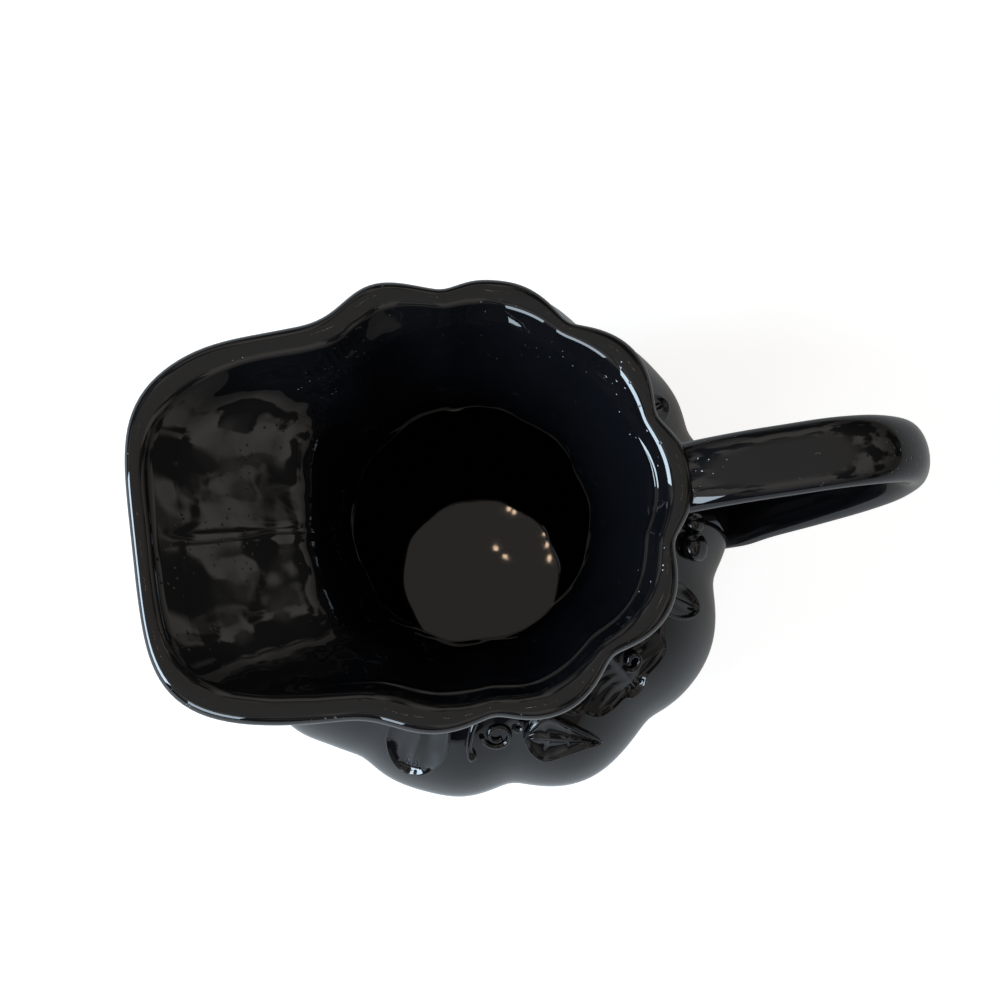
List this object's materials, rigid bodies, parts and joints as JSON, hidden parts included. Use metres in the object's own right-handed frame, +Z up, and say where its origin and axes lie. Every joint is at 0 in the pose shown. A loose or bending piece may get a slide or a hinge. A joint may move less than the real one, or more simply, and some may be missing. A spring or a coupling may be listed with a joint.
{
  "type": "ceramic pitcher",
  "caption": "Black glazed pitcher with a round lobed body, flared lobed rim drawn out into a wide spout, tall strap handle and leaves and tendrils in relief on the shoulder.",
  "frame": {"origin": "centre of the foot ring, on the plane of its flat face", "axes": "+Z up from the foot to the rim, +X towards the handle, the spout towards -X, +Y across"},
  "size_m": [0.2235, 0.1742, 0.1969],
  "materials": {
    "black_glaze": "gloss",
    "bare_foot": "matt"
  },
  "bodies": {
    "root": {"belly": "black_glaze", "neck_and_spout": "black_glaze", "handle": "black_glaze", "oval_leaf_near": "black_glaze", "palm_leaf_near": "black_glaze", "pointed_leaf_near": "black_glaze", "round_leaf_near": "black_glaze", "tendril_ring_near": "black_glaze", "tendril_curl_near": "black_glaze", "tendril_on_leaf_near": "black_glaze", "vine_stem_near": "black_glaze", "bud_near": "black_glaze", "bud_cap_near": "black_glaze", "oval_leaf_far": "black_glaze", "palm_leaf_far": "black_glaze", "pointed_leaf_far": "black_glaze", "round_leaf_far": "black_glaze", "tendril_ring_far": "black_glaze", "tendril_curl_far": "black_glaze", "tendril_on_leaf_far": "black_glaze", "vine_stem_far": "black_glaze", "bud_far": "black_glaze", "bud_cap_far": "black_glaze", "foot_ring": "bare_foot"}
  },
  "joints": []
}
